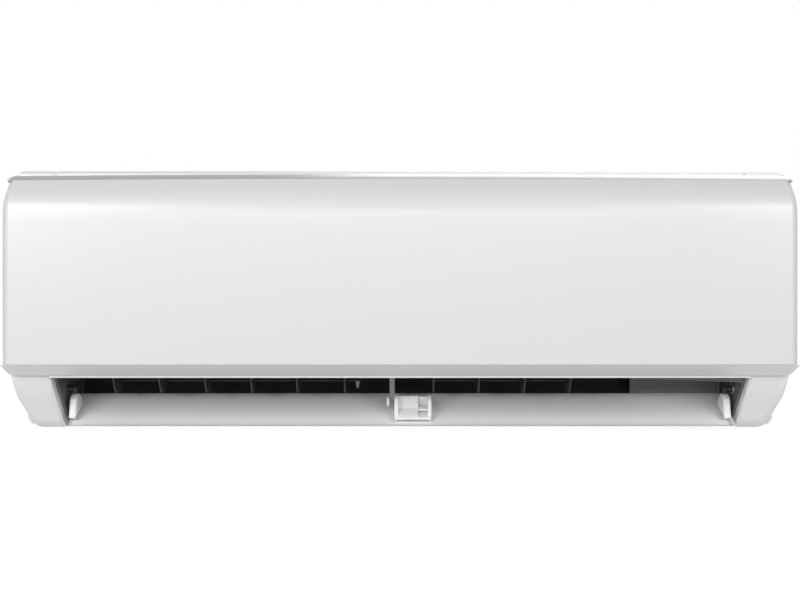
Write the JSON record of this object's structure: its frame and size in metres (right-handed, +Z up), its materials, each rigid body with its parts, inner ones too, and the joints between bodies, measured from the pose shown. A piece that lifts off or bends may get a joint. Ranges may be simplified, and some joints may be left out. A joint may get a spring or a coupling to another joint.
{
  "type": "mini split indoor unit",
  "caption": "Wall-hung air conditioner indoor unit with a swing-up front panel, an open outlet louver, side-swing vanes and a cross-flow fan.",
  "frame": {"origin": "on the back face of the steel mounting plate, midway along the unit and level with the middle of its height", "axes": "+X along the unit to the viewer's right, +Y into the wall, +Z up"},
  "size_m": [0.965, 0.215, 0.329],
  "materials": {
    "panel": "satin white moulded plastic with a soft sheen",
    "casing": "fine-grained white moulded plastic",
    "trim": "satin silver trim strip",
    "duct": "matt grey moulded plastic",
    "louver": "satin white moulded plastic",
    "clip": "bright white moulded plastic",
    "dark": "near-black moulded plastic",
    "steel": "zinc-plated sheet steel",
    "fins": "fine aluminium fins with a pale blue coating",
    "copper": "bare copper tube",
    "rubber": "black moulded rubber",
    "filter": "grey plastic filter frame and net",
    "board": "green circuit board"
  },
  "bodies": {
    "casing": {"left_cheek": "casing", "right_cheek": "casing", "frame_top": "casing", "outlet_lip": "casing", "inlet_grille": "casing", "rear_chassis": "casing", "end_wall_left": "casing", "end_wall_right": "casing", "duct_end_right": "duct", "mounting_plate": "steel", "centre_strut": "duct", "louver_motor": "steel", "fan_bearing": "steel", "bearing_holder": "rubber", "fan_motor": "steel", "motor_ring": "rubber", "motor_cover": "casing", "fin_pack_front_low": "fins", "fin_pack_front_high": "fins", "fin_pack_rear": "fins", "tube_sheet_left": "copper", "tube_sheet_right": "copper", "drip_tray": "duct", "filter_left": "filter", "filter_right": "filter", "control_box": "steel", "control_box_lid": "casing", "circuit_board": "board", "terminal_block": "dark", "receiver_board": "board", "room_sensor": "copper", "gas_pipe": "copper", "liquid_pipe": "copper", "vane_strip_left": "dark", "vane_strip_right": "dark"},
    "panel": {"front_panel": "panel", "top_trim": "trim", "bottom_trim": "trim", "panel_arm_left": "casing", "panel_arm_right": "casing"},
    "louver": {"louver_blade": "louver", "louver_clip_left": "clip", "louver_clip_right": "clip", "louver_clip_centre": "clip"},
    "fan": {"fan_wheel": "dark", "fan_shaft": "steel"},
    "run_button": {"run_button": "clip"},
    "vane_link_left": {"vane_link_left": "dark"},
    "vane_link_right": {"vane_link_right": "dark"},
    "vane_left_1": {"vane_left_1": "dark"},
    "vane_left_2": {"vane_left_2": "dark"},
    "vane_left_3": {"vane_left_3": "dark"},
    "vane_left_4": {"vane_left_4": "dark"},
    "vane_left_5": {"vane_left_5": "dark"},
    "vane_left_6": {"vane_left_6": "dark"},
    "vane_right_1": {"vane_right_1": "dark"},
    "vane_right_2": {"vane_right_2": "dark"},
    "vane_right_3": {"vane_right_3": "dark"},
    "vane_right_4": {"vane_right_4": "dark"}
  },
  "joints": [
    {"name": "panel_swing", "type": "hinge", "parent": "casing", "child": "panel", "pos_m": [0, -0.163, 0.1475], "axis": [-1, 0, 0], "range_deg": [0, 60]},
    {"name": "louver_tilt", "type": "hinge", "parent": "casing", "child": "louver", "pos_m": [0, -0.1156, -0.1162], "axis": [1, 0, 0], "range_deg": [-63, 12]},
    {"name": "fan_spin", "type": "hinge", "parent": "casing", "child": "fan", "pos_m": [0, -0.09, -0.038], "axis": [1, 0, 0], "continuous": true},
    {"name": "button_press", "type": "slide", "parent": "casing", "child": "run_button", "axis": [0, 1, 0], "range_m": [0, 0.002], "stiffness_N_per_m": 300, "springref_m": -0.001},
    {"name": "vane_left_1_swing", "type": "hinge", "parent": "casing", "child": "vane_left_1", "pos_m": [-0.366, -0.127, -0.0795], "axis": [0, 0.9114, -0.4114], "range_deg": [-30, 30]},
    {"name": "vane_left_2_swing", "type": "hinge", "parent": "casing", "child": "vane_left_2", "pos_m": [-0.3075, -0.127, -0.0795], "axis": [0, 0.9114, -0.4114], "range_deg": [-30, 30]},
    {"name": "vane_left_3_swing", "type": "hinge", "parent": "casing", "child": "vane_left_3", "pos_m": [-0.249, -0.127, -0.0795], "axis": [0, 0.9114, -0.4114], "range_deg": [-30, 30]},
    {"name": "vane_left_4_swing", "type": "hinge", "parent": "casing", "child": "vane_left_4", "pos_m": [-0.1905, -0.127, -0.0795], "axis": [0, 0.9114, -0.4114], "range_deg": [-30, 30]},
    {"name": "vane_left_5_swing", "type": "hinge", "parent": "casing", "child": "vane_left_5", "pos_m": [-0.132, -0.127, -0.0795], "axis": [0, 0.9114, -0.4114], "range_deg": [-30, 30]},
    {"name": "vane_left_6_swing", "type": "hinge", "parent": "casing", "child": "vane_left_6", "pos_m": [-0.071, -0.127, -0.0795], "axis": [0, 0.9114, -0.4114], "range_deg": [-30, 30]},
    {"name": "vane_link_left_pivot", "type": "hinge", "parent": "vane_left_1", "child": "vane_link_left", "pos_m": [-0.366, -0.10842, -0.10325], "axis": [0, 0.9114, -0.4114], "range_deg": [-30, 30]},
    {"name": "vane_right_1_swing", "type": "hinge", "parent": "casing", "child": "vane_right_1", "pos_m": [0.043, -0.127, -0.0795], "axis": [0, 0.9114, -0.4114], "range_deg": [-30, 30]},
    {"name": "vane_right_2_swing", "type": "hinge", "parent": "casing", "child": "vane_right_2", "pos_m": [0.101, -0.127, -0.0795], "axis": [0, 0.9114, -0.4114], "range_deg": [-30, 30]},
    {"name": "vane_right_3_swing", "type": "hinge", "parent": "casing", "child": "vane_right_3", "pos_m": [0.1595, -0.127, -0.0795], "axis": [0, 0.9114, -0.4114], "range_deg": [-30, 30]},
    {"name": "vane_right_4_swing", "type": "hinge", "parent": "casing", "child": "vane_right_4", "pos_m": [0.218, -0.127, -0.0795], "axis": [0, 0.9114, -0.4114], "range_deg": [-30, 30]},
    {"name": "vane_link_right_pivot", "type": "hinge", "parent": "vane_right_1", "child": "vane_link_right", "pos_m": [0.043, -0.10842, -0.10325], "axis": [0, 0.9114, -0.4114], "range_deg": [-30, 30]}
  ],
  "couplings": [
    {"joint": "vane_left_2_swing", "follows": "vane_left_1_swing", "ratio": 1},
    {"joint": "vane_left_3_swing", "follows": "vane_left_1_swing", "ratio": 1},
    {"joint": "vane_left_4_swing", "follows": "vane_left_1_swing", "ratio": 1},
    {"joint": "vane_left_5_swing", "follows": "vane_left_1_swing", "ratio": 1},
    {"joint": "vane_left_6_swing", "follows": "vane_left_1_swing", "ratio": 1},
    {"joint": "vane_link_left_pivot", "follows": "vane_left_1_swing", "ratio": -1},
    {"joint": "vane_right_2_swing", "follows": "vane_right_1_swing", "ratio": 1},
    {"joint": "vane_right_3_swing", "follows": "vane_right_1_swing", "ratio": 1},
    {"joint": "vane_right_4_swing", "follows": "vane_right_1_swing", "ratio": 1},
    {"joint": "vane_link_right_pivot", "follows": "vane_right_1_swing", "ratio": -1}
  ]
}
